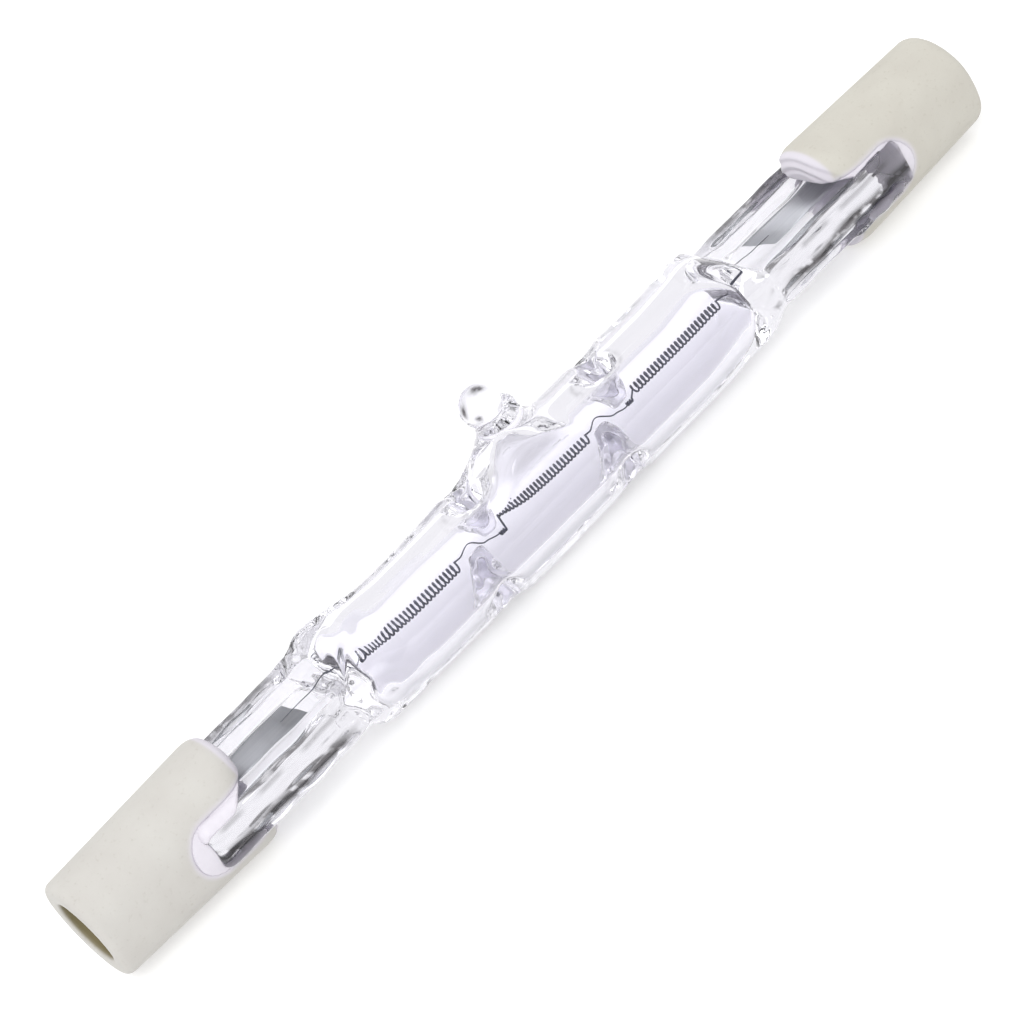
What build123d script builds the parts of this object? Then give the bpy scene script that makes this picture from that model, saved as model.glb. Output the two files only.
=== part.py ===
from build123d import *
import os
from math import cos, pi, radians, sin, sqrt, tan

os.makedirs("parts", exist_ok=True)

# Double-ended linear halogen bulb: a quartz tube pinched flat at both ends, a coiled filament held
# by pressed-in dimples, and a slotted ceramic cap with a recessed contact on each pinch.
# X runs along the lamp, Z is square to the pinch flats, and the origin is midway between the caps.
# Each end is drawn once, at +X, and mirrored. Sizes are in millimetres and degrees.

# Whole lamp
overall_length = 78.3      # from cap end to cap end
end_run = 24.35            # from the end of the round tube to the cap's outer end

# Quartz tube
tube_diameter = 7.9
tube_wall = 1.5
shoulder_run = 3.8         # length of each shoulder, from the round tube down to the pinch
bore_run = 2.6             # length in which the bore closes at each end
bore_end_height = 0.5      # height of the bore's blunt end
chamber_shift = 0.35       # the tip and the dimples stand this far towards +X

# Pinch seals
pinch_width = 7.7
pinch_thickness = 3.3
pinch_corner = 0.6         # rounding along the pinch's edges
groove_width = 4.4         # the shallow flat that the jaws press between two rims
groove_depth = 0.25
groove_slope = 0.5         # sideways run of the groove's sloped flanks
groove_lead = 0.8          # how far past the shoulder the groove starts

# Dimples that hold the filament
support_spacing = 11.6     # between the two pairs of dimples
support_stagger = 1.7      # between the two dimples of a pair, along the lamp
support_turn = 29.0        # their direction round the axis, from the pinch's normal
dimple_nose = 0.2          # radius of the pressing pin's flat nose
dimple_sides = 10          # flats round the pin
dimple_slope = 19.0        # half angle of the pin
dimple_wall = 0.5          # glass left over the pin
dimple_run_out = 1.0       # how far the pin stands out of the tube

# Exhaust tip
tip_turn = 14.0            # its direction round the axis, from the pinch's normal
tip_reach = 7.5            # from the lamp's axis to the top of the bead
tip_bead = 2.9             # bead diameter
tip_neck = 2.6             # neck diameter, where the flare meets the bead
tip_neck_height = 5.1      # height of that place above the axis
tip_flare = 6.2            # width of the flare at its foot, inside the wall
tip_hollow_base = 7.0      # length of the hollow where it leaves the tube's bore
tip_hollow_width = 4.2     # its width there, across the lamp
tip_hollow_end = 0.9       # width of the hollow where it was sealed
tip_hollow_top = 3.6       # height of the sealed end above the axis

# Filament
wire_size = 0.16
coil_diameter = 0.9        # outside
coil_pitch = 0.4
coil_runs_per_turn = 5     # each turn is drawn as straight runs
filament_reach = 1.6       # how far the outer coils run on past the round tube
support_run = 4.4          # bare wire through each pair of dimples
link_run = 0.5             # wire between a coil's last turn and the axis
wire_clearance = 0.05      # between the wire and each dimple

# Sealing foils and outer leads
foil_width = 2.5
foil_thickness = 0.05
foil_length = 8.6
foil_margin = 1.3          # glass between the foil and the pinch's end
weld_length = 1.4          # overlap of wire or lead on the foil
lead_diameter = 0.6
lead_flat = 0.08           # depth of the flat where the lead is welded

# Ceramic caps
cap_length = 12.75
cap_end_diameter = 7.15
cap_mouth_diameter = 7.9   # at the open, slotted end
cap_end_edge = 0.4         # bevel of the outer end
tongue_corner = 2.2        # rounding of the two tongues, seen square to the slot
slot_depth = 5.8           # to the middle of its rounded end
slot_clearance = 0.08      # between the pinch and each wall of the slot
cement_length = 1.4        # plug between the pinch and the slot's end
cement_sink = 0.1          # how far the plug lies below the cap's surface

# Contacts
recess_diameter = 4.4
recess_depth = 1.7         # down to the contact's face
contact_diameter = 3.6
contact_thickness = 0.5
shank_diameter = 1.5
shank_length = 2.2
contact_clearance = 0.05   # round the button and its shank

tube_radius = tube_diameter / 2
bore_radius = tube_radius - tube_wall
lamp_end = overall_length / 2
left_support = chamber_shift - support_spacing / 2
right_support = chamber_shift + support_spacing / 2
chamber_end = lamp_end - end_run
shoulder_end = chamber_end + shoulder_run
bore_end = chamber_end + bore_run
cap_mouth = lamp_end - cap_length
slot_end = cap_mouth + slot_depth
slot_width = pinch_thickness + 2 * slot_clearance
pinch_end = slot_end - cement_length
recess_floor = lamp_end - recess_depth
contact_seat = recess_floor - contact_thickness
shank_end = contact_seat - shank_length
foil_end = pinch_end - foil_margin
foil_start = foil_end - foil_length
lead_height = (foil_thickness + lead_diameter) / 2 - lead_flat
wire_reach = wire_size / sqrt(2)           # half the square wire's diagonal
leg_height = foil_thickness / 2 + wire_reach
rising = (Align.CENTER, Align.CENTER, Align.MIN)
outward = (Align.MIN, Align.CENTER, Align.CENTER)


def round_axis(shape, turn):
    # Turn a shape drawn along Z about the lamp's axis, towards +Y.
    return Rot(-turn, 0, 0) * shape


def rod(radius, start, end):
    # A round rod along the lamp's axis.
    return Pos(start, 0, 0) * Rot(0, 90, 0) * Cylinder(radius, end - start, align=rising)


def faceted(rings):
    # A closed solid of flat faces between one ring of points and the next.
    faces = [Face(Wire.make_polygon(rings[0])), Face(Wire.make_polygon(rings[-1]))]
    for ring, ahead in zip(rings, rings[1:]):
        for a, b, c, d in zip(ring, ring[1:] + ring[:1], ahead[1:] + ahead[:1], ahead):
            faces.append(Face(Wire.make_polygon([a, b, c, d])))
    return Solid(Shell(faces))


def pinched_bar(radius, end, end_height):
    # A round bar along X whose ends are pressed down in Z, on an arc, to a flat edge.
    half = end_height / 2
    outline = [
        TangentArc((chamber_end, radius), (end, half), tangent=(1, 0)),
        Line((end, half), (end, -half)),
        TangentArc((chamber_end, -radius), (end, -half), tangent=(1, 0)),
        Line((chamber_end, -radius), (-chamber_end, -radius)),
        TangentArc((-chamber_end, -radius), (-end, -half), tangent=(-1, 0)),
        Line((-end, -half), (-end, half)),
        TangentArc((-chamber_end, radius), (-end, half), tangent=(-1, 0)),
        Line((-chamber_end, radius), (chamber_end, radius)),
    ]
    side = extrude(Plane.XZ * make_face(outline), radius, both=True)
    return rod(radius, -end, end) & side


def pinch():
    # The flat seal at +X, with a shallow groove along each face.
    section = Plane.YZ * RectangleRounded(pinch_width, pinch_thickness, pinch_corner)
    blade = Pos(chamber_end, 0, 0) * extrude(section, pinch_end - chamber_end)
    floor = groove_width / 2
    face = pinch_thickness / 2
    groove_start = shoulder_end + groove_lead
    section = Polyline(
        (-floor, face - groove_depth),
        (floor, face - groove_depth),
        (floor + groove_slope, face),
        (-floor - groove_slope, face),
        close=True,
    )
    groove = extrude(Plane.YZ * make_face(section), pinch_end - groove_start)
    groove = Pos(groove_start, 0, 0) * groove
    return blade - groove - Rot(180, 0, 0) * groove


def pin_ring(radius, height):
    turns = [2 * pi * side / dimple_sides for side in range(dimple_sides)]
    return [Vector(radius * cos(turn), radius * sin(turn), height) for turn in turns]


def dimple(grow):
    # A pin pressed in from above, or with grow the glass that lines its hollow.
    slope = radians(dimple_slope)
    low = wire_reach + wire_clearance + dimple_wall - grow
    nose = dimple_nose + grow * (1 - sin(slope)) / cos(slope)
    top = tube_radius + dimple_run_out
    return faceted([pin_ring(nose, low), pin_ring(nose + (top - low) * tan(slope), top)])


def dimples(grow):
    # A pair at each support, pressed in from opposite sides and staggered along the lamp.
    step = support_stagger / 2
    return [
        Pos(x + side, 0, 0) * round_axis(dimple(grow), turn)
        for x in (left_support, right_support)
        for side, turn in ((step, support_turn), (-step, support_turn + 180))
    ]


def exhaust_tip():
    # The flare and bead left where the lamp was filled and sealed.
    foot = bore_radius
    flare = Cone(tip_flare / 2, tip_neck / 2, tip_neck_height - foot, align=rising)
    bead = Pos(0, 0, tip_reach - tip_bead / 2) * Sphere(tip_bead / 2)
    return Pos(chamber_shift, 0, 0) * round_axis(Pos(0, 0, foot) * flare + bead, tip_turn)


def tip_hollow():
    # The bore's top runs up into the tip, wide along the lamp and narrower across it.
    foot = bore_radius / 2
    hollow = Cone(tip_hollow_base / 2, tip_hollow_end / 2, tip_hollow_top - foot, align=rising)
    hollow &= Box(tip_hollow_base, tip_hollow_width, tip_hollow_top, align=rising)
    return Pos(chamber_shift, 0, 0) * round_axis(Pos(0, 0, foot) * hollow, tip_turn)


def seal_pockets():
    # The space that the foil, its lead and the filament's leg take in the pinch at +X.
    leg = Box(foil_start + weld_length - chamber_end, 2 * wire_reach, 2 * wire_reach, align=outward)
    return [foil(), lead(), Pos(chamber_end, 0, leg_height) * leg]


def quartz_envelope():
    body = pinched_bar(tube_radius, shoulder_end, pinch_thickness)
    body += exhaust_tip()
    body += pinch()
    body += mirror(pinch(), Plane.YZ)
    for pin in dimples(0):
        body -= pin
    cavity = pinched_bar(bore_radius, bore_end, bore_end_height)
    cavity += tip_hollow()
    for lining in dimples(dimple_wall):
        cavity -= lining
    body -= cavity
    for pocket in seal_pockets():
        body -= pocket
        body -= mirror(pocket, Plane.YZ)
    return body


def foil():
    return Pos(foil_start, 0, 0) * Box(foil_length, foil_width, foil_thickness, align=outward)


def lead():
    # A round wire with a flat where it is welded on the foil, running out to the contact's shank.
    return Pos(0, 0, lead_height) * rod(lead_diameter / 2, foil_end - weld_length, shank_end) - foil()


def slot():
    # The cut across the cap that takes the pinch, with a rounded end.
    half = slot_width / 2
    open_end = cap_mouth - half
    outline = [
        Line((open_end, -half), (slot_end - half, -half)),
        CenterArc((slot_end - half, 0), half, -90, 180),
        Line((slot_end - half, half), (open_end, half)),
        Line((open_end, half), (open_end, -half)),
    ]
    return extrude(Plane.XZ * make_face(outline), cap_mouth_diameter, both=True)


def tongue_outline():
    # The cap's outline seen square to the slot, rounded at both corners of its mouth.
    plan = Pos((cap_mouth + lamp_end) / 2, 0, 0) * Rectangle(cap_length, cap_mouth_diameter)
    plan = fillet(plan.vertices().group_by(Axis.X)[0], tongue_corner)
    return extrude(plan, cap_mouth_diameter, both=True)


def ceramic_cap():
    outline = Polyline(
        (cap_mouth, 0),
        (cap_mouth, cap_mouth_diameter / 2),
        (lamp_end, cap_end_diameter / 2),
        (lamp_end, 0),
        close=True,
    )
    section = make_face(outline)
    section = chamfer(section.vertices().group_by(Axis.X)[-1].sort_by(Axis.Y)[-1], cap_end_edge)
    body = revolve(section, Axis.X) & tongue_outline()
    body -= slot()
    body -= rod(recess_diameter / 2, recess_floor, lamp_end)
    body -= rod(contact_diameter / 2 + contact_clearance, contact_seat, recess_floor)
    return body - rod(shank_diameter / 2 + contact_clearance, pinch_end, contact_seat)


def cement():
    # The plug that holds the pinch in the slot, a little below the cap's surface.
    taper = (cap_mouth_diameter - cap_end_diameter) / 2 / cap_length
    reach = cap_end_diameter / 2 + taper * (lamp_end - slot_end) - cement_sink
    return (rod(reach, pinch_end, slot_end) & slot()) - lead()


def contact():
    # A button let into the recess's floor, on a shank that the lead is welded to.
    button = rod(contact_diameter / 2, contact_seat, recess_floor)
    return button + rod(shank_diameter / 2, shank_end, contact_seat)


def coil(start, end):
    # Points along one coiled stretch, with a whole number of turns.
    steps = round((end - start) / coil_pitch) * coil_runs_per_turn
    radius = (coil_diameter - wire_size) / 2
    points = []
    for step in range(steps + 1):
        angle = 2 * pi * step / coil_runs_per_turn
        along = start + (end - start) * step / steps
        points.append(Vector(along, radius * sin(angle), radius * cos(angle)))
    return points


def mitred_wire(points):
    # A square wire along a path of straight runs, each corner cut on the plane that halves it.
    runs = [(b - a).normalized() for a, b in zip(points, points[1:])]
    corners = ((wire_reach, 0), (0, wire_reach), (-wire_reach, 0), (0, -wire_reach))
    rings = [[points[0] + Vector(0, y, z) for y, z in corners]]
    for place, run, after in zip(points[1:], runs, runs[1:] + runs[-1:]):
        cut = run + after
        rings.append([p + run * ((place - p).dot(cut) / run.dot(cut)) for p in rings[-1]])
    return faceted(rings)


def filament():
    # One wire: a leg on each foil, three coiled stretches and a bare run through each support.
    outer = chamber_end + filament_reach
    leg_end = foil_start + weld_length
    points = [Vector(-leg_end, 0, leg_height), Vector(-bore_end, 0, leg_height)]
    start = -outer
    for support in (left_support, right_support):
        stop = support - support_run / 2
        points += coil(start, stop)
        start = support + support_run / 2
        points += [Vector(stop + link_run, 0, 0), Vector(start - link_run, 0, 0)]
    points += coil(start, outer)
    points += [Vector(bore_end, 0, leg_height), Vector(leg_end, 0, leg_height)]
    return mitred_wire(points)


def write(name, shape):
    shape.label = name
    export_step(shape, f"parts/{name}.step")


write("quartz_envelope", quartz_envelope())
write("filament", filament())
ends = {
    "foil": foil,
    "outer_lead": lead,
    "ceramic_cap": ceramic_cap,
    "cap_cement": cement,
    "contact": contact,
}
for name, make in ends.items():
    piece = make()
    write(f"{name}_right", piece)
    write(f"{name}_left", mirror(piece, Plane.YZ))
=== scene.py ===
import bpy
import math
import numpy as np
from itertools import product
from mathutils import Matrix, Vector


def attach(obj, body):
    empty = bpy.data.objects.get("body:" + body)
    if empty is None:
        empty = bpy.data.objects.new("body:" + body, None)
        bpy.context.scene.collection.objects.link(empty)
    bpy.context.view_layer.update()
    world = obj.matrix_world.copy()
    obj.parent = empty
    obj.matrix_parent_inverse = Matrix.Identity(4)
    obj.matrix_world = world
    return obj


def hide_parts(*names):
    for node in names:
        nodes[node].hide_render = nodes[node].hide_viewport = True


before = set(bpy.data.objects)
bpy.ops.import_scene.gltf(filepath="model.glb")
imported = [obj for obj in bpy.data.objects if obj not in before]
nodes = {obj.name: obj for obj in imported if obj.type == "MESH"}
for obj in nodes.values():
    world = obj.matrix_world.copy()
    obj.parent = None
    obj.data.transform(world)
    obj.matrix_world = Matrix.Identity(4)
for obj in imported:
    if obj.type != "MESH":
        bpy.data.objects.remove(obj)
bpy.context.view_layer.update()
mm = 0.001
print("frame loaded,", len(nodes), "nodes")


# small helpers

def linear(hexColour):
    # sRGB hex to the linear values that Blender works in
    parts = [int(hexColour[i:i + 2], 16) / 255 for i in (1, 3, 5)]
    return tuple(p / 12.92 if p <= 0.04045 else ((p + 0.055) / 1.055) ** 2.4 for p in parts) + (1.0,)


def addNode(tree, kind, settings={}, links={}):
    node = tree.nodes.new(kind)
    for name, value in settings.items():
        if isinstance(name, int) or name in node.inputs:
            node.inputs[name].default_value = value
        else:
            setattr(node, name, value)
    for name, socket in links.items():
        tree.links.new(socket, node.inputs[name])
    return node


def newMaterial(name):
    material = bpy.data.materials.new(name)
    material.use_nodes = True
    tree = material.node_tree
    tree.nodes.clear()
    shader = addNode(tree, "ShaderNodeBsdfPrincipled")
    addNode(tree, "ShaderNodeOutputMaterial", links={"Surface": shader.outputs["BSDF"]})
    return material, tree, shader


def smoothMin(a, b, round_):
    h = np.clip(0.5 + 0.5 * (b - a) / round_, 0, 1)
    return b * (1 - h) + a * h - round_ * h * (1 - h)


def smoothMax(a, b, round_):
    return -smoothMin(-a, -b, round_)


def smoothStep(low, high, value):
    t = np.clip((value - low) / (high - low), 0, 1)
    return t * t * (3 - 2 * t)


def gradientOf(field, points, step=0.01):
    columns = []
    for axis in range(3):
        ahead, behind = points.copy(), points.copy()
        ahead[:, axis] += step
        behind[:, axis] -= step
        columns.append((field(*ahead.T) - field(*behind.T)) / (2 * step))
    return np.stack(columns, 1)


def skinOf(field, low, high, cell):
    # the surface where a field of signed distances (mm) is zero, as one quad for each grid edge it crosses
    axes = [np.arange(low[i] - 2 * cell, high[i] + 3 * cell, cell) for i in range(3)]
    size = [len(a) for a in axes]
    value = field(*np.meshgrid(*axes, indexing="ij"))
    inside = value < 0
    total = np.zeros([n - 1 for n in size] + [3])
    count = np.zeros([n - 1 for n in size])
    for corner, axis in product(product((0, 1), repeat=3), range(3)):
        if corner[axis]:
            continue
        far = [c + (i == axis) for i, c in enumerate(corner)]
        a = tuple(slice(c, n - 1 + c) for c, n in zip(corner, size))
        b = tuple(slice(c, n - 1 + c) for c, n in zip(far, size))
        crossed = inside[a] != inside[b]
        part = np.where(crossed, value[a] / np.where(crossed, value[a] - value[b], 1), 0)
        for i in range(3):
            total[..., i] += crossed * corner[i] + (part if i == axis else 0)
        count += crossed
    active = count > 0
    index = np.full(active.shape, -1)
    index[active] = np.arange(active.sum())
    start = np.array([a[0] for a in axes])
    points = start + cell * (np.argwhere(active) + total[active] / count[active][:, None])
    for _ in range(5):  # pull each corner onto the surface
        slope = gradientOf(field, points)
        move = field(*points.T) / np.maximum((slope ** 2).sum(1), 0.2)
        points -= np.clip(move, -cell / 2, cell / 2)[:, None] * slope
    faces = []
    for axis in range(3):
        side, up = (axis + 1) % 3, (axis + 2) % 3
        first = tuple(slice(0, -1) if i == axis else slice(None) for i in range(3))
        second = tuple(slice(1, None) if i == axis else slice(None) for i in range(3))
        spots = np.argwhere(inside[first] != inside[second])
        leaving = inside[tuple(spots.T)]
        ring = []
        for ds, du in ((-1, -1), (0, -1), (0, 0), (-1, 0)):
            cellAt = spots.copy()
            cellAt[:, side] += ds
            cellAt[:, up] += du
            ring.append(index[tuple(cellAt.T)])
        quads = np.stack(ring, 1)
        quads[~leaving] = quads[~leaving][:, ::-1]
        faces.append(quads)
    normals = gradientOf(field, points, 0.02)
    normals /= np.maximum(np.linalg.norm(normals, axis=1), 1e-6)[:, None]
    return points, np.concatenate(faces), normals


def meshObject(name, points, faces, normals=None):
    mesh = bpy.data.meshes.new(name)
    mesh.from_pydata((np.asarray(points) * mm).tolist(), [], [list(map(int, f)) for f in faces])
    mesh.validate()
    mesh.shade_smooth()
    if normals is not None:
        mesh.normals_split_custom_set_from_vertices(normals.tolist())
    obj = bpy.data.objects.new(name, mesh)
    bpy.context.collection.objects.link(obj)
    return obj


def endPiece(name, side, field, low, high, cell):
    # meshes a piece of the right end, mirrored when it belongs to the left one
    points, faces, normals = skinOf(field, low, high, cell)
    flip = np.array((side, 1, 1))
    piece = meshObject(name, points * flip, faces if side > 0 else faces[:, ::-1], normals * flip)
    return piece, points


def paint(obj, name, values):
    # a value for each corner of the mesh, which its material reads
    obj.data.attributes.new(name, "FLOAT", "POINT").data.foreach_set("value", values.astype(np.float32))


def place(obj, material, slotName, *replaced):
    obj.data.materials.clear()
    obj.data.materials.append(material)
    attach(obj, "root")
    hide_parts(*replaced)


# quartz envelope

quartz = {
    # pairs are for the left and the right half, but From and To say where a change starts and ends
    "tubeRadius": 3.95, "boreRadius": 2.45, "chamberEnd": 14.8,
    "thin": 0.33, "thinFrom": (-10.5, -3),      # the left half was drawn thinner
    "sag": (0.42, 0.22), "boreSag": (0.5, 0.45), "sagDirection": (-0.559, -0.829), "sagHalf": 13,
    "shoulderEnd": 18.6, "boreShoulder": (16.0, 14.6), "boreEnd": 17.6, "boreEndHeight": (1.4, 0.5),
    "lumps": ((0.16, 2.6, 1.7), (0.1, 4.2, 0.4)),    # depth, size and seed of the uneven shoulders
    "lumpsFrom": (12.5, 16.5), "lumpsTo": (21, 18.5),
    "pinchWidth": 7.7, "pinchThickness": 3.3, "pinchCorner": 0.6, "pinchRipple": 0.05,
    "pinchEnd": (31.1, 31.6), "pinchEndEdge": (0.7, 0.3), "leftShift": -0.15,
    "grooveWidth": 4.6, "grooveDepth": 0.22, "grooveStart": 19.4,
    # glass squeezed out of the right slot: start, end, y, z and radius
    "bulge": (26.4, 30.0, -3.42, -1.2, 0.56), "bulgeRipple": 0.14,
    # pins that pressed the dimples: place along the lamp, turn round it, lean and nearest height
    "dimples": ((-4.65, 29, 0.1, 0.35), (-6.25, 209, -0.22, 0.663),
                (7.1, 29, 0.1, 0.35), (5.2, 209, -0.22, 0.663)),
    "pinNose": 0.2, "pinSlope": 19, "pinWall": 0.5, "pinWander": 0.1, "pinKnots": 0.12,
    "tipAt": 0.2, "tipTurn": 14, "flare": 3.1, "neck": 1.3, "neckHeight": 5.1, "leftFlare": 1.25,
    # the bead's two lobes: place along the lamp, height and radius
    "beads": ((-0.02, 6.09, 1.41), (1.25, 5.05, 0.8)), "beadRipple": 0.06,
    "hollowAt": -0.1, "hollowFoot": 3.4, "hollowEnd": 0.5, "hollowTop": 3.5, "hollowAcross": 1.8,
    "softness": 0.45,   # rounding that flame-worked glass has at every corner
    "gridLow": (-31.2, -3.95, -3.95), "gridHigh": (31.7, 3.95, 7.85), "cell": 0.19,    # mesh spacing in mm
}


def ripple(x, y, z, size, seed):
    # smooth hand-worked unevenness between -1 and 1, its lumps about size mm across
    k = 2 * math.pi / size
    first = np.sin(k * (0.53 * x + 0.61 * y - 0.42 * z) + seed)
    first = first * np.cos(k * (0.31 * x - 0.5 * y + 0.66 * z) + 2.1 * seed)
    second = np.sin(k * (0.83 * x - 0.37 * y + 0.29 * z) + 3.7 * seed)
    second = second * np.cos(k * (0.21 * x + 0.4 * y + 0.71 * z) - seed)
    return 0.5 * (first + second)


def pressedBar(x, y, z, radius, start, end, height, round_):
    # a round bar whose ends are pressed flat in z along an arc
    drop = radius - height / 2
    arc = ((end - start) ** 2 + drop ** 2) / (2 * drop)
    past = np.abs(x) - start
    rise = np.abs(z)
    side = np.where(past > 0, np.hypot(past, rise - radius + arc) - arc, rise - radius)
    bar = smoothMax(np.hypot(y, z) - radius, side, round_)
    return smoothMax(bar, np.abs(x) - end, round_)


def pinchBlade(x, y, z):
    q = quartz
    along = np.abs(x)
    y = y - np.where(x < 0, q["leftShift"], 0) * smoothStep(q["shoulderEnd"], q["shoulderEnd"] + 5, along)
    groove = smoothStep(q["grooveWidth"] / 2 + 0.5, q["grooveWidth"] / 2 - 0.1, np.abs(y))
    groove = groove * smoothStep(q["grooveStart"] - 0.4, q["grooveStart"] + 0.8, along)
    half = q["pinchThickness"] / 2 - q["grooveDepth"] * groove
    c = q["pinchCorner"]
    a = np.abs(y) - (q["pinchWidth"] / 2 - c)
    b = np.abs(z) - (half - c)
    section = np.hypot(np.maximum(a, 0), np.maximum(b, 0)) + np.minimum(np.maximum(a, b), 0) - c
    section = section + q["pinchRipple"] * ripple(x, 2 * y, z, 3.1, 0.8)
    section = smoothMax(section, q["chamberEnd"] + 1.2 - along, 1.5)
    endAt, edge = [np.where(x < 0, *q[name]) for name in ("pinchEnd", "pinchEndEdge")]
    section = smoothMax(section, along - endAt, edge)
    start, end, across, high, radius = q["bulge"]
    past = np.maximum(np.maximum(start - x, x - end), 0)
    lump = np.sqrt(past ** 2 + (y - across) ** 2 + (z - high) ** 2) - radius
    return smoothMin(section, lump + q["bulgeRipple"] * ripple(x, y, z, 1.7, 0.3), 0.3)


def turned(y, z, turn):
    # the heights along and across a direction that is turned round the lamp's axis from +z towards +y
    t = math.radians(turn)
    return y * math.sin(t) + z * math.cos(t), y * math.cos(t) - z * math.sin(t)


def pin(x, y, z, at, turn, lean, low, grow):
    q = quartz
    slope = math.radians(q["pinSlope"])
    up, across = turned(y, z, turn)
    at = at + lean * up + q["pinWander"] * np.sin(2.2 * up + at)    # pressed by hand, so not straight
    nose = q["pinNose"] + grow * (1 - math.sin(slope)) / math.cos(slope)
    low = low - grow
    wall = (np.hypot(x - at, across) - nose - (up - low) * math.tan(slope)) * math.cos(slope)
    return smoothMax(wall, low - up, 0.3)


def cone(out, up, low, high, lowRadius, highRadius):
    lean = (lowRadius - highRadius) / (high - low)
    side = (out - lowRadius + (up - low) * lean) / math.hypot(1, lean)
    return np.maximum(np.maximum(side, low - up), up - high)


def hang(x, y, z, ends):
    # the place as it would be in a straight tube: the round part hangs below the caps' axis
    q = quartz
    chamber = smoothStep(q["shoulderEnd"], q["chamberEnd"] - 3, np.abs(x))
    drop = chamber * (ends[1] + (ends[0] - ends[1]) * (1 - smoothStep(-q["sagHalf"], q["sagHalf"], x)))
    return x, y - drop * q["sagDirection"][0], z - drop * q["sagDirection"][1]


def tipHollow(x, y, z):
    # the bore's top runs up into the tip
    q = quartz
    up, across = turned(y, z, q["tipTurn"])
    out = np.hypot(x - q["hollowAt"], across)
    hollow = cone(out, up, q["boreRadius"] / 2, q["hollowTop"], q["hollowFoot"], q["hollowEnd"])
    return smoothMax(hollow, np.abs(across) - q["hollowAcross"], 0.5)


def quartzField(x, y, z):
    q = quartz
    soft = q["softness"]
    shoulders = smoothStep(*q["lumpsFrom"], np.abs(x)) * smoothStep(*q["lumpsTo"], np.abs(x))
    left, right = [depth * ripple(x, y, z, size, seed) for depth, size, seed in q["lumps"]]
    lumps = np.where(x < 0, left, right) * shoulders
    hung = hang(x, y, z, q["sag"])
    tube = pressedBar(*hung, q["tubeRadius"], q["chamberEnd"], q["shoulderEnd"], q["pinchThickness"], 0.25)
    chamber = smoothStep(q["shoulderEnd"], q["chamberEnd"] - 2, np.abs(x))
    tube = tube + chamber * q["thin"] * (1 - smoothStep(*q["thinFrom"], x))
    body = smoothMin(tube, pinchBlade(x, y, z), soft) + lumps
    up, across = turned(y, z, q["tipTurn"])
    reach = x - q["tipAt"]
    stretch = 1 + (q["leftFlare"] - 1) * smoothStep(q["neckHeight"], q["tubeRadius"] - 0.6, up)
    out = np.hypot(np.where(reach < 0, reach / stretch, reach), across)
    flare = cone(out, up, q["boreRadius"], q["neckHeight"], q["flare"], q["neck"])
    lobes = [np.sqrt((x - at) ** 2 + across ** 2 + (up - high) ** 2) - radius
             for at, high, radius in q["beads"]]
    bead = smoothMin(*lobes, 0.2) + q["beadRipple"] * ripple(x, y, z, 1.5, 0.6)
    body = smoothMin(body, smoothMin(flare, bead, 0.3), 1.0)
    hung = hang(x, y, z, q["boreSag"])
    start, height = [np.where(x < 0, *q[name]) for name in ("boreShoulder", "boreEndHeight")]
    cavity = pressedBar(*hung, q["boreRadius"], start, q["boreEnd"], height, 0.6) + 0.5 * lumps
    cavity = smoothMin(cavity, tipHollow(x, y, z), 0.6)
    knots = q["pinKnots"] * ripple(x, y, z, 1.3, 2.2)     # the glass creased as the pins drew it in
    for dimple in q["dimples"]:
        body = smoothMax(body, knots - pin(x, y, z, *dimple, 0), soft)
        cavity = smoothMax(cavity, 0.6 * knots - pin(x, y, z, *dimple, q["pinWall"]), soft)
    return np.maximum(body, -cavity)


# painted dark reflections and painted shade on the quartz: grey bands on the pinch's edges, dark spots on
# the bead, grey in the hollows
paintedDarkening = {
    "pressedFrom": (18.8, 21.2), "nearFace": (-3.3, -3.6),
    "nearHeight": (-0.6, -0.36), "nearHalf": 0.46,      # painted dark reflection: a band on the pinch's near edge, left and right
    "cornerHeight": 1.0, "cornerHalf": 0.14, "cornerDark": 0.9,     # thin line above it
    "farFrom": (2.1, 3.1), "farHeight": (0.7, 1.0), "farDark": 0.93, "farStreaks": 0.55,    # painted dark reflection on the far edge
    # strengths of the painted shade in the tip's hollow and the dimples, and of the bead's painted dark
    # spots
    "hollowShade": 0.38, "pinShade": 0.42, "reflectedDark": 1.4,
    # painted dark reflections on the bead: direction from its middle, direction of the spot's length, half
    # length and width
    "reflectedDarkSpots": (((-0.9, -0.09, 0.42), (0.55, 0.27, 0.79), 0.36, 0.2),
                  ((0.16, -0.3, 0.94), (0.83, -0.5, -0.26), 0.4, 0.2),
                  ((-0.72, -0.69, 0.04), (0.83, -0.5, -0.26), 0.2, 0.17)),
}


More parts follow.
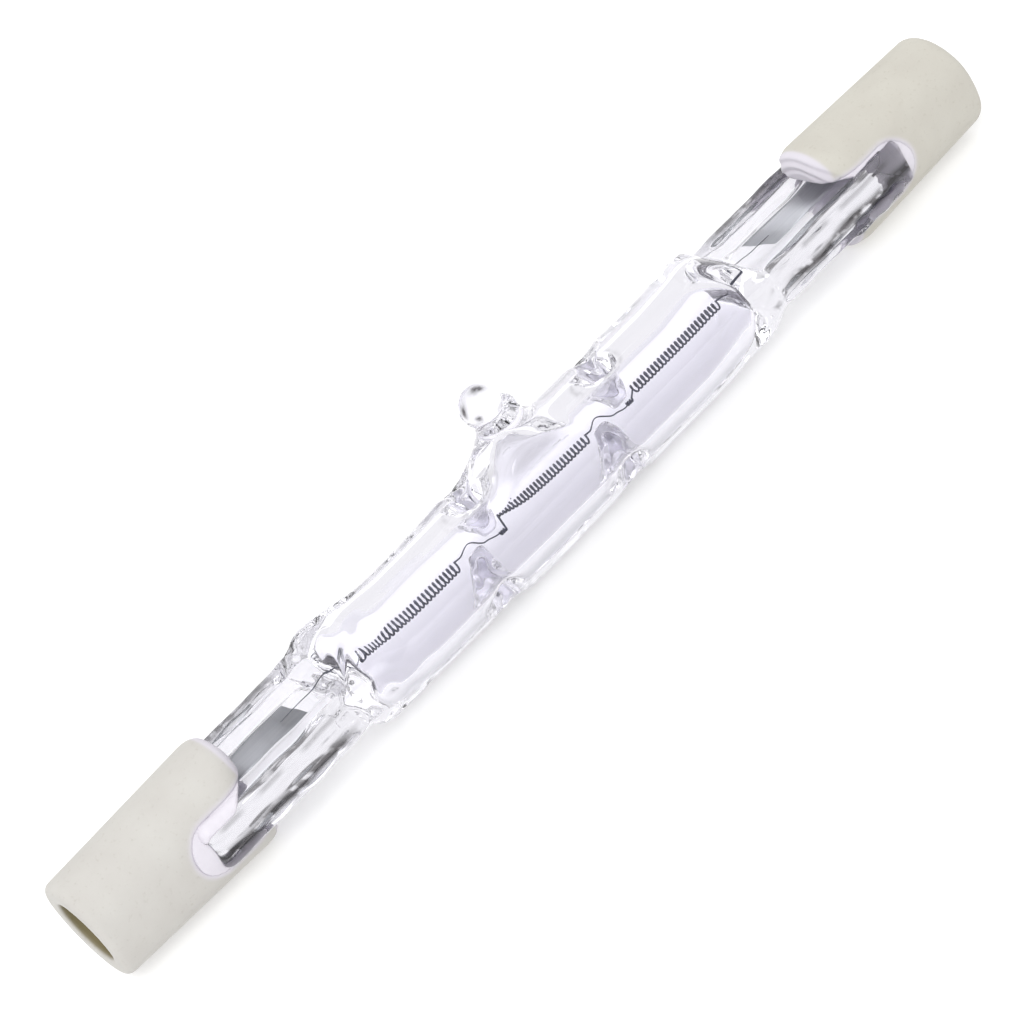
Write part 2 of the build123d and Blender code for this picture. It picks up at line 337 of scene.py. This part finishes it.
def paintedShadeAndReflections(x, y, z):
    # painted dark reflections along the pinch's edges and on the bead, and painted shade in the hollows
    q, s = quartz, paintedDarkening
    along = np.abs(x)
    y = y - np.where(x < 0, q["leftShift"], 0)
    pressed = smoothStep(*s["pressedFrom"], along)
    nearFace = smoothStep(*s["nearFace"], y)
    ragged = ripple(x, y, 2 * z, 2.3, 2.3) + 0.7 * ripple(x, 2 * y, 3 * z, 0.9, 1.1)
    height = np.where(x < 0, *s["nearHeight"]) + 0.22 * ripple(x, 0, 0, 4.5, 0.9)
    # painted dark reflections: a band low on the near face, a thin line near its top corner, and a streaky
    # band high on the far face
    nearBand = np.exp(-((z - height) / s["nearHalf"]) ** 4) * nearFace
    nearBand = nearBand * smoothStep(-0.8, -0.25, ragged)
    cornerLine = np.exp(-((z - s["cornerHeight"]) / s["cornerHalf"]) ** 2) * nearFace
    cornerLine = cornerLine * smoothStep(-0.45, 0.0, ripple(x, 0, 0, 3.4, 2.9))
    streaks = ripple(x, 6 * y, 2 * z, 3.0, 1.9) + ripple(x, 3 * y, z, 0.9, 0.7)
    farBand = smoothStep(*s["farFrom"], y) * smoothStep(*s["farHeight"], z)
    farBand = farBand * (s["farDark"] - s["farStreaks"] * smoothStep(0.1, 0.7, streaks))
    marks = pressed * np.maximum(np.maximum(nearBand, s["cornerDark"] * cornerLine), farBand)
    # painted dark reflections on the bead, as spots
    at, high, radius = q["beads"][0]
    turn = math.radians(q["tipTurn"])
    rel = np.stack((x - at, y - high * math.sin(turn), z - high * math.cos(turn)), -1) / radius
    for toward, lengthwise, length, width in s["reflectedDarkSpots"]:
        off = rel - np.array(toward)
        run = off @ np.array(lengthwise)
        aside = np.maximum((off ** 2).sum(-1) - run ** 2, 0)
        spot = s["reflectedDark"] * np.exp(-(run / length) ** 2 - aside / width ** 2)
        marks = np.maximum(marks, spot * (along < 4))
    bloom = smoothStep(0.3, 0.1, np.abs(tipHollow(x, y, z))) * smoothStep(1.8, 2.3, z)
    shadeInHollows = s["hollowShade"] * bloom     # painted shade in the tip's hollow
    for dimple in q["dimples"]:        # and where the pins pressed the soft glass
        lining = np.minimum(np.abs(pin(x, y, z, *dimple, 0)), np.abs(pin(x, y, z, *dimple, q["pinWall"])))
        cloud = 0.5 + 0.5 * np.clip(2 * ripple(x, y, z, 1.5, 0.9), -1, 1)
        shadeInHollows = np.maximum(shadeInHollows, s["pinShade"] * cloud * smoothStep(0.2, 0.05, lining))
    return np.clip(np.maximum(marks, shadeInHollows), 0, 1)


# fused quartz, drawn and flame-worked: clear, high gloss, with faint draw lines along the tube, and with
# painted shade and painted dark reflections laid on from a mask
clearQuartz, tree, shader = newMaterial("clearFusedQuartz")
mark = addNode(tree, "ShaderNodeAttribute", {"attribute_name": "paintedShadeAndReflection"})
tint = addNode(tree, "ShaderNodeMix", {"data_type": "RGBA", 6: linear("#F6F5FB"), 7: linear("#242123")},
               {"Factor": mark.outputs["Fac"]})       # grey for the painted dark reflections and painted shade
tree.links.new(tint.outputs[2], shader.inputs["Base Color"])
shader.inputs["Transmission Weight"].default_value = 1.0
shader.inputs["IOR"].default_value = 1.458
shader.inputs["Roughness"].default_value = 0.0
coords = addNode(tree, "ShaderNodeTexCoord")
drawn = addNode(tree, "ShaderNodeMapping", {"Scale": (40, 500, 500)},     # lines 25 mm long, 2 mm wide
                {"Vector": coords.outputs["Object"]})
lines = addNode(tree, "ShaderNodeTexNoise", {"Scale": 1.0, "Detail": 1.0, "Roughness": 0.4},
                {"Vector": drawn.outputs["Vector"]})
bump = addNode(tree, "ShaderNodeBump", {"Strength": 0.05, "Distance": 0.0002},
               {"Height": lines.outputs["Fac"]})
tree.links.new(bump.outputs["Normal"], shader.inputs["Normal"])

points, faces, normals = skinOf(quartzField, quartz["gridLow"], quartz["gridHigh"], quartz["cell"])
envelope = meshObject("quartzEnvelope", points, faces, normals)
# painted shade and painted dark reflections, a value for each corner
paint(envelope, "paintedShadeAndReflection", paintedShadeAndReflections(*points.T))
place(envelope, clearQuartz, "quartz", "quartz_envelope")
print("quartz envelope:", len(faces), "quads")


# filament

coil = {
    "wire": 0.07, "stepsPerTurn": 16,
    # coils: radius, start and end along the lamp, height of each end over the axis, pitch,
    # and length in which the first turns widen
    "stretches": ((0.34, -16.4, -7.7, 0.12, -0.15, 0.32, 0.01), (0.265, -3.6, 3.95, 0.32, -0.2, 0.275, 2.2),
                  (0.295, 8.4, 16.4, -0.05, -0.05, 0.32, 0.01)),
    # bare wire, pushed up by the lower dimple and down by the upper one: place along the lamp and height
    "bareRuns": (((-7.2, 0.1), (-6.25, 0.42), (-5.25, -0.32), (-4.3, -0.55), (-3.75, -0.62)),
                 ((4.4, 0.0), (5.2, 0.38), (6.4, -0.34), (7.2, -0.52), (7.9, -0.45))),
    "curl": (3, 0.1, 0.5),     # turns, radius and length of the tight curl before the next coil
    "coilWire": 0.95, "bareWire": 0.7, "sealedWire": 0.6,      # shares of the wire's radius
    "turn": 29, "legHeight": 0.138, "legEnd": 22.3, "boreEnd": 17.6,
}


def lifted(x, height):
    turn = math.radians(coil["turn"])
    return (x, height * math.sin(turn), height * math.cos(turn))


def coilPoints(radius, start, end, startLift, endLift, pitch, taper):
    c = coil
    steps = round((end - start) / pitch) * c["stepsPerTurn"]
    path = []
    for step in range(steps + 1):
        t = step / steps
        angle = 2 * math.pi * step / c["stepsPerTurn"]
        along = start + (end - start) * t ** (1 + 0.06 * taper)      # a tapered start is wound tighter too
        x, y, z = lifted(along, endLift + (startLift - endLift) * (1 - t) ** 3)
        wide = radius * (0.3 + 0.7 * float(smoothStep(0, taper, x - start)))
        path.append((x, y + wide * math.sin(angle), z + wide * math.cos(angle)))
    return path


def bareRun(knots):
    # the wire eased from one knot to the next
    path = []
    for (x, height), (nextX, nextHeight) in zip(knots, knots[1:]):
        for t in np.arange(0, 1, 0.125):
            eased = float(smoothStep(0, 1, t))
            path.append(lifted(x + (nextX - x) * t, height + (nextHeight - height) * eased))
    turns, radius, length = coil["curl"]
    steps = turns * coil["stepsPerTurn"]
    for step in range(steps + 1):
        angle = 2 * math.pi * step / coil["stepsPerTurn"]
        x, y, z = lifted(knots[-1][0] - length * (1 - step / steps), knots[-1][1])
        path.append((x, y + radius * math.sin(angle), z + radius * math.cos(angle)))
    return path


# tungsten wire, drawn and heat-blackened: dark blue-grey with a dull metal glint
tungsten, tree, shader = newMaterial("drawnTungsten")
shader.inputs["Metallic"].default_value = 1.0
coords = addNode(tree, "ShaderNodeTexCoord")
stain = addNode(tree, "ShaderNodeTexNoise", {"Scale": 900.0, "Detail": 2.0},     # patches of about 1 mm
                {"Vector": coords.outputs["Object"]})
tone = addNode(tree, "ShaderNodeValToRGB", links={"Fac": stain.outputs["Fac"]})
tone.color_ramp.elements[0].color = linear("#3A3C48")
tone.color_ramp.elements[1].color = linear("#6A6D7C")
tree.links.new(tone.outputs["Color"], shader.inputs["Base Color"])
shader.inputs["Roughness"].default_value = 0.38

leg = [(coil["boreEnd"], 0, coil["legHeight"]), (coil["legEnd"], 0, coil["legHeight"])]
path = [(-x, y, z) for x, y, z in reversed(leg)]
for number, stretch in enumerate(coil["stretches"]):
    path += coilPoints(*stretch)
    if number < len(coil["bareRuns"]):
        path += bareRun(coil["bareRuns"][number])
path += leg
curve = bpy.data.curves.new("filamentWire", "CURVE")
curve.dimensions = "3D"
curve.bevel_depth = coil["wire"] * mm
curve.bevel_resolution = 2
curve.use_fill_caps = True
spline = curve.splines.new("POLY")
spline.points.add(len(path) - 1)
for point, (x, y, z) in zip(spline.points, path):
    point.co = (x * mm, y * mm, z * mm, 1)
    sealed = abs(x) > coil["boreEnd"] + 1
    bare = any(run[0][0] <= x < run[-1][0] - coil["curl"][2] for run in coil["bareRuns"])
    share = "sealedWire" if sealed else "bareWire" if bare else "coilWire"
    point.radius = coil[share]      # stretched thinner where it isn't coiled
filament = bpy.data.objects.new("filamentWire", curve)
bpy.context.collection.objects.link(filament)
place(filament, tungsten, "tungsten", "filament")
print("filament:", len(path), "points")


# sealing foils and outer leads

# molybdenum foil, rolled thin and etched: mid grey, satin, with rolling streaks along its length
rolledFoil, tree, shader = newMaterial("rolledMolybdenumFoil")
shader.inputs["Metallic"].default_value = 1.0
coords = addNode(tree, "ShaderNodeTexCoord")
stretch = addNode(tree, "ShaderNodeMapping", {"Scale": (150, 4000, 1)},      # streaks 0.25 mm wide
                  {"Vector": coords.outputs["Object"]})
streak = addNode(tree, "ShaderNodeTexNoise", {"Scale": 1.0, "Detail": 3.0},
                 {"Vector": stretch.outputs["Vector"]})
tone = addNode(tree, "ShaderNodeValToRGB", links={"Fac": streak.outputs["Fac"]})
tone.color_ramp.elements[0].color = linear("#BFC2C6")
tone.color_ramp.elements[1].color = linear("#DADCDE")
tree.links.new(tone.outputs["Color"], shader.inputs["Base Color"])
shader.inputs["Roughness"].default_value = 0.5

foil = {"start": 20.9, "end": 29.5, "halfWidth": 1.25, "half": 0.025, "slant": (0.45, 0.9)}


def foilStrip(side, slant):
    # a strip with its inner end cut on a slant, thinnest at its long edges
    f = foil
    points, faces = [], []
    rows = 9
    for row in range(rows):
        y = f["halfWidth"] * (2 * row / (rows - 1) - 1)
        thick = f["half"] * max(0.15, 1 - (y / f["halfWidth"]) ** 2)
        cut = slant * (1 - y / f["halfWidth"]) / 2
        inner = f["start"] + (cut if side > 0 else slant - cut)
        for x, z in ((inner, -thick), (f["end"], -thick), (f["end"], thick), (inner, thick)):
            points.append((side * x, y, z))
    for row in range(rows - 1):
        for k in range(4):
            a, b = 4 * row + k, 4 * row + (k + 1) % 4
            faces.append((a, b, b + 4, a + 4))
    faces += [(3, 2, 1, 0), tuple(4 * rows - 4 + k for k in range(4))]
    return points, faces


for end, side, slant in (("left", -1, foil["slant"][0]), ("right", 1, foil["slant"][1])):
    strip = meshObject("sealingFoil_" + end, *foilStrip(side, slant))
    place(strip, rolledFoil, "molybdenum_foil", "foil_" + end)
    wire = nodes["outer_lead_" + end]
    wire.data.materials.clear()
    wire.data.materials.append(rolledFoil)      # the same metal, hidden in the pinch and the cap
print("foils and leads done")


# ceramic caps

cap = {
    "mouth": 26.4, "end": 39.15, "mouthRadius": 3.95, "endRadius": 3.575, "slotHalf": 1.73, "slotEnd": 32.2,
    "tongueCorner": 3.0, "tongueHalf": 3.95,
    "crease": 0.6, "creaseDepth": 0.04, "creaseInward": (1.9, 1.2), "creaseAlong": (1.3, 0.7),
    "recessRadius": 2.2, "recessFloor": 37.45, "recessEdge": 0.25,
    "seatRadius": 1.85, "seatFloor": 36.95, "holeRadius": 0.8,
    "endEdge": 0.3, "mouthEdge": 0.55, "slotEdge": 0.4, "cell": 0.15,
    "rimSmear": (0.55, 0.1), "mouthSmear": (0.75, 0.45),      # wiped cement, from none to full
    "stainAndShadeDepth": (0.02, 0.3), "stainAndShadePast": (0.12, 0.2),      # khaki heat stain and painted shade on the recess's wall and floor
}


def slotField(x, y, z):
    c = cap
    past = np.maximum(x - (c["slotEnd"] - c["slotHalf"]), 0)
    return np.hypot(past, z) - c["slotHalf"]


def capField(x, y, z, side):
    c = cap
    out = np.hypot(y, z)
    taper = (c["mouthRadius"] - c["endRadius"]) / (c["end"] - c["mouth"])
    shell = out - c["endRadius"] - (c["end"] - x) * taper
    body = smoothMax(shell, x - c["end"], c["endEdge"] * 2)
    corner = c["tongueCorner"]     # seen square to the slot, the tongues have round corners
    a = np.maximum(c["mouth"] + corner - x, 0)
    b = np.maximum(np.abs(y) - c["tongueHalf"] + corner, 0)
    body = smoothMax(body, np.hypot(a, b) - corner, c["mouthEdge"] * 2)
    inward = c["mouthRadius"] - out       # creases round the right cap's tongues, where they left the die
    crease = np.cos(2 * math.pi * inward / c["crease"]) * smoothStep(*c["creaseInward"], inward)
    crease = crease * smoothStep(*c["creaseAlong"], x - c["mouth"]) * (side > 0)
    body = body + c["creaseDepth"] * crease
    body = smoothMax(body, -slotField(x, y, z), c["slotEdge"])
    recess = np.maximum(out - c["recessRadius"], c["recessFloor"] - x)
    body = smoothMax(body, -recess, c["recessEdge"])
    seat = np.maximum(out - c["seatRadius"], c["seatFloor"] - x)
    hole = out - c["holeRadius"]
    return np.maximum(np.maximum(body, -seat), -hole)


# steatite ceramic, dry-pressed and fired unglazed: warm off-white, matt, with fine grit and grey specks
steatite, tree, shader = newMaterial("pressedSteatite")
coords = addNode(tree, "ShaderNodeTexCoord")
cloud = addNode(tree, "ShaderNodeTexNoise", {"Scale": 350.0, "Detail": 4.0},     # 3 mm clouding
                {"Vector": coords.outputs["Object"]})
grit = addNode(tree, "ShaderNodeTexNoise", {"Scale": 4000.0, "Detail": 3.0},     # 0.25 mm grit
               {"Vector": coords.outputs["Object"]})
tone = addNode(tree, "ShaderNodeValToRGB", links={"Fac": cloud.outputs["Fac"]})
tone.color_ramp.elements[0].position = 0.3
tone.color_ramp.elements[0].color = linear("#BDBAB5")
tone.color_ramp.elements[1].position = 0.7
tone.color_ramp.elements[1].color = linear("#C3C1BC")
speck = addNode(tree, "ShaderNodeValToRGB", links={"Fac": grit.outputs["Fac"]})
speck.color_ramp.elements[0].position = 0.25
speck.color_ramp.elements[0].color = linear("#F4F3F1")
speck.color_ramp.elements[1].position = 0.4
speck.color_ramp.elements[1].color = linear("#FFFFFF")
body = addNode(tree, "ShaderNodeMix", {"data_type": "RGBA", "blend_type": "MULTIPLY", "Factor": 1.0},
               {6: tone.outputs["Color"], 7: speck.outputs["Color"]})
ends = addNode(tree, "ShaderNodeSeparateXYZ", links={0: coords.outputs["Object"]})
# the right cap was fired a shade warmer
warm = addNode(tree, "ShaderNodeMapRange", {"From Min": -0.02, "From Max": 0.02},
               {"Value": ends.outputs["X"]})
fired = addNode(tree, "ShaderNodeMix",
                {"data_type": "RGBA", "blend_type": "MULTIPLY", 7: linear("#FFFEF8")},
                {"Factor": warm.outputs["Result"], 6: body.outputs[2]})
# cement wiped over the slot's rim
smear = addNode(tree, "ShaderNodeAttribute", {"attribute_name": "cementSmear"})
wiped = addNode(tree, "ShaderNodeMix", {"data_type": "RGBA", 7: linear("#CFCBD3")},
                {"Factor": smear.outputs["Fac"], 6: fired.outputs[2]})
# khaki inside the contact's recess: heat stain, and painted shade where the recess lies in shadow
heat = addNode(tree, "ShaderNodeAttribute", {"attribute_name": "heatStainAndShade"})
scorchedAndShaded = addNode(tree, "ShaderNodeMix", {"data_type": "RGBA", 7: linear("#7C7250")},
                   {"Factor": heat.outputs["Fac"], 6: wiped.outputs[2]})
tree.links.new(scorchedAndShaded.outputs[2], shader.inputs["Base Color"])
shader.inputs["Roughness"].default_value = 0.7
shader.inputs["IOR"].default_value = 1.6
bump = addNode(tree, "ShaderNodeBump", {"Strength": 0.15, "Distance": 0.00005},
               {"Height": grit.outputs["Fac"]})
tree.links.new(bump.outputs["Normal"], shader.inputs["Normal"])

wide = cap["mouthRadius"]
for end, side in (("left", -1), ("right", 1)):
    piece, points = endPiece("ceramicCap_" + end, side, lambda x, y, z: capField(x, y, z, side),
                             (cap["mouth"], -wide, -wide), (cap["end"], wide, wide), cap["cell"])
    along, out = points[:, 0], np.hypot(points[:, 1], points[:, 2])
    rim = smoothStep(*cap["rimSmear"], slotField(*points.T))
    paint(piece, "cementSmear", np.maximum(rim, smoothStep(*cap["mouthSmear"], along - cap["mouth"])))
    # khaki heat stain with painted shade, growing deeper into the recess
    pastWall, pastFloor = cap["stainAndShadePast"]
    inRecess = (out < cap["recessRadius"] + pastWall) * (along > cap["seatFloor"] - pastFloor)
    paint(piece, "heatStainAndShade", inRecess * smoothStep(*cap["stainAndShadeDepth"], cap["end"] - along))
    place(piece, steatite, "ceramic", "ceramic_cap_" + end)
    print("ceramic cap,", end + ":", len(piece.data.polygons), "quads")


# cement plugs

cement = {
    "start": (30.9, 31.4), "sink": 0.13, "grip": 0.08, "edge": 0.15,
    "filletReach": 0.45, "filletStart": 26.9, "filletTaper": 2, "filletFrom": 2.6,
    "coatReach": 0.15, "coat": 0.13, "coatFade": 0.2, "rimLap": 0.12,
    "gridLow": (26.9, -4.3, -2.4), "gridHigh": (32.9, 4.3, 2.4), "cell": 0.12,
}


def cementField(x, y, z, side):
    c = cap
    taper = (c["mouthRadius"] - c["endRadius"]) / (c["end"] - c["mouth"])
    under = np.hypot(y, z) - c["endRadius"] - (c["end"] - x) * taper + cement["sink"]
    slot = slotField(x, y, z)
    plug = smoothMax(slot, under, cement["edge"])
    plug = smoothMax(plug, cement["start"][side > 0] - x, cement["edge"])
    # a fillet in the groove between the cap's rim and the pinch, wetted onto both
    ceramic = capField(x, y, z, side)
    glass = pinchBlade(side * x, y, z)
    room = np.maximum(-glass, -ceramic) - cement["grip"]
    upper = (side < 0) * smoothStep(0, 0.6, z)      # on the left it was wiped over the glass's upper corner
    reach = cement["filletReach"] + upper * cement["coatReach"]
    reach = reach * smoothStep(cement["filletStart"], cement["filletStart"] + cement["filletTaper"], x)
    under = np.minimum(under, glass + cement["coatFade"] - (cement["coatFade"] + cement["coat"]) * upper)
    near = np.maximum(np.maximum(ceramic - reach, slot - cement["rimLap"]), cement["filletStart"] - x)
    fillet = np.maximum(np.maximum(room, near), np.maximum(under, cement["filletFrom"] - np.abs(y)))
    return np.minimum(plug, fillet)


# sealing cement, poured and set: fine-grained lilac white, a little smoother than the cap
setCement, tree, shader = newMaterial("setSealingCement")
coords = addNode(tree, "ShaderNodeTexCoord")
grain = addNode(tree, "ShaderNodeTexNoise", {"Scale": 2500.0, "Detail": 3.0},    # 0.4 mm grain
                {"Vector": coords.outputs["Object"]})
tone = addNode(tree, "ShaderNodeValToRGB", links={"Fac": grain.outputs["Fac"]})
tone.color_ramp.elements[0].color = linear("#D2CED6")
tone.color_ramp.elements[1].color = linear("#DCD8E0")
tree.links.new(tone.outputs["Color"], shader.inputs["Base Color"])
shader.inputs["Roughness"].default_value = 0.5
bump = addNode(tree, "ShaderNodeBump", {"Strength": 0.2, "Distance": 0.00005},
               {"Height": grain.outputs["Fac"]})
tree.links.new(bump.outputs["Normal"], shader.inputs["Normal"])

for end, side in (("left", -1), ("right", 1)):
    piece, points = endPiece("capCement_" + end, side, lambda x, y, z: cementField(x, y, z, side),
                             cement["gridLow"], cement["gridHigh"], cement["cell"])
    place(piece, setCement, "cement", "cap_cement_" + end)
    print("cement,", end + ":", len(piece.data.polygons), "quads")


# contacts

# nickel-plated contact, stamped: warm grey metal, satin, rubbed unevenly by the spring contact
plated, tree, shader = newMaterial("stampedNickelContact")
shader.inputs["Metallic"].default_value = 1.0
shader.inputs["Base Color"].default_value = linear("#A9A59A")
coords = addNode(tree, "ShaderNodeTexCoord")
rub = addNode(tree, "ShaderNodeTexNoise", {"Scale": 3000.0, "Detail": 3.0},      # 0.3 mm rubbing
              {"Vector": coords.outputs["Object"]})
wear = addNode(tree, "ShaderNodeMapRange", {"To Min": 0.25, "To Max": 0.55}, {"Value": rub.outputs["Fac"]})
tree.links.new(wear.outputs["Result"], shader.inputs["Roughness"])
for end in ("left", "right"):
    button = nodes["contact_" + end]
    button.data.materials.clear()
    button.data.materials.append(plated)
print("contacts done")


# floor, light and camera

stage = {
    "floorAt": -4.19, "floorSize": 900, "floorColour": "#D2D2D2", "floorGlow": 0.42,
    # white all round, dim behind the camera: colours, where the ramp reaches them, and its direction
    "bright": "#FFFFFF", "brightAt": 0.42, "dim": "#3C3B44", "dimAt": 0.12, "brightSide": (0.25, 0.97, 0.9),
    "surroundStrength": 0.95,
}

# plain matt sheet of a light table under the lamp
paper, tree, shader = newMaterial("plainPaleSheet")
shader.inputs["Base Color"].default_value = linear(stage["floorColour"])
shader.inputs["Roughness"].default_value = 0.9
shader.inputs["Emission Color"].default_value = linear("#FFFFFF")
shader.inputs["Emission Strength"].default_value = stage["floorGlow"]
half = stage["floorSize"] / 2
low = stage["floorAt"]
corners = [(-half, -half, low), (half, -half, low), (half, half, low), (-half, half, low)]
floor = meshObject("floor", corners, [(0, 1, 2, 3)])
floor.data.materials.append(paper)

world = bpy.data.worlds.new("softRoom")
bpy.context.scene.world = world
world.use_nodes = True
tree = world.node_tree
tree.nodes.clear()
coords = addNode(tree, "ShaderNodeTexCoord")
facing = addNode(tree, "ShaderNodeVectorMath", {"operation": "DOT_PRODUCT", 1: stage["brightSide"]},
                 {0: coords.outputs["Generated"]})
spread = addNode(tree, "ShaderNodeMapRange", {"From Min": -1.0, "From Max": 1.0},
                 {"Value": facing.outputs["Value"]})
walls = addNode(tree, "ShaderNodeValToRGB", links={"Fac": spread.outputs["Result"]})
for stop, shade in zip(walls.color_ramp.elements, ("dim", "bright")):
    stop.position = stage[shade + "At"]
    stop.color = linear(stage[shade])
room = addNode(tree, "ShaderNodeBackground", {"Strength": stage["surroundStrength"]},
               {"Color": walls.outputs["Color"]})
addNode(tree, "ShaderNodeOutputWorld", links={"Surface": room.outputs["Background"]})

lights = {
    # name: place in mm, aim, size in mm, watts
    "overheadSheet": ((-80, 120, 420), (0, 0, 0), 420, 0.35),
    "frontSheet": ((-210, -340, 370), (0, 0, 0), 260, 1.4),
}
for name, (at, aim, size, watts) in lights.items():
    glow = bpy.data.lights.new(name, "AREA")
    glow.energy = watts
    glow.size = size * mm
    light = bpy.data.objects.new(name, glow)
    light.location = Vector(at) * mm
    light.rotation_euler = (Vector(aim) - Vector(at)).to_track_quat("-Z", "Y").to_euler()
    bpy.context.collection.objects.link(light)

view = {
    "toCamera": (-0.309, -0.788, 0.532), "distance": 200, "aim": (-2.7, -0.123, -0.182),
    "focalPixels": 3265, "photoPixels": 1024, "sensor": 36,
}
back = Vector(view["toCamera"]).normalized()
along = (Vector((1, 0, 0)) - back * back.x).normalized()   # the lamp's axis as the camera sees it
below = back.cross(along) * -1         # square to it, towards the lower right of the picture
right = (along + below).normalized()
up = (along - below).normalized()
lens = bpy.data.cameras.new("photoCamera")
lens.sensor_width = view["sensor"]
lens.lens = view["focalPixels"] * view["sensor"] / view["photoPixels"]
lens.clip_start = 0.01
lens.clip_end = 10
camera = bpy.data.objects.new("photoCamera", lens)
pose = Matrix((right, up, back)).transposed().to_4x4()
pose.translation = (Vector(view["aim"]) + back * view["distance"]) * mm
camera.matrix_world = pose
bpy.context.collection.objects.link(camera)
bpy.context.scene.camera = camera
bpy.context.scene.view_settings.view_transform = "Standard"
paths = bpy.context.scene.cycles   # light crosses many glass faces before it leaves
paths.max_bounces = 32
paths.transmission_bounces = 24
paths.glossy_bounces = 16
print("stage done")
